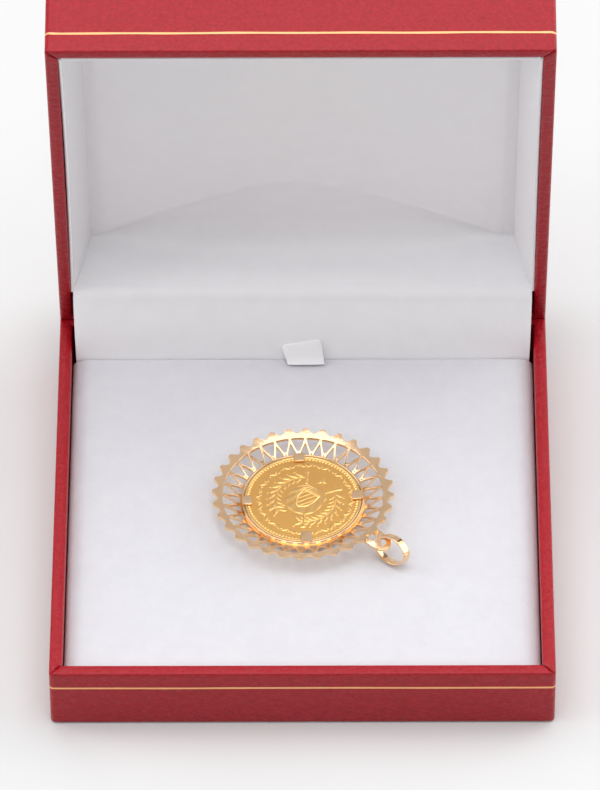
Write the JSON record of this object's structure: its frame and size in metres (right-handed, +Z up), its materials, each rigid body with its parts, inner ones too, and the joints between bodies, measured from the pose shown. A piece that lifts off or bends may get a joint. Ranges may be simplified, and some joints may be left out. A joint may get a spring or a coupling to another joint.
{
  "type": "coin pendant in a presentation box",
  "caption": "Gold coin in a pierced, scalloped mount with a band bail, lying on the velvet pad of a square red leatherette box with a hinged satin-lined lid.",
  "frame": {"origin": "middle of the base's underside, which rests on the table", "axes": "+X to the right as seen from the front, +Y from the front towards the hinge, +Z up"},
  "size_m": [0.089, 0.1031, 0.1015],
  "materials": {
    "coin_gold": "struck yellow gold, satin field and brighter relief",
    "mount_gold": "polished rose gold",
    "leatherette": "fine-grained red leatherette over board, semi-matt",
    "gold_foil": "stamped gold foil line",
    "velvet": "short white velvet pile",
    "ribbon": "white satin ribbon",
    "satin": "white satin lining, soft sheen",
    "hinge_steel": "plain hidden hinge"
  },
  "bodies": {
    "base": {"base_tray": "leatherette", "base_gold_line": "gold_foil", "pad": "velvet", "ribbon_tab": "ribbon", "hinge_cover_base": "satin", "hinge_base": "hinge_steel", "coin": "coin_gold", "pendant_frame": "mount_gold", "bail": "mount_gold"},
    "lid": {"lid_shell": "leatherette", "lid_gold_line": "gold_foil", "lid_side_lining": "satin", "lid_ceiling_pad": "satin", "lid_back_lining": "satin", "hinge_lid": "hinge_steel"}
  },
  "joints": [
    {"name": "lid_hinge", "type": "hinge", "parent": "base", "child": "lid", "pos_m": [0, 0.043, 0.0129], "axis": [1, 0, 0], "range_deg": [0, 77.5]}
  ]
}
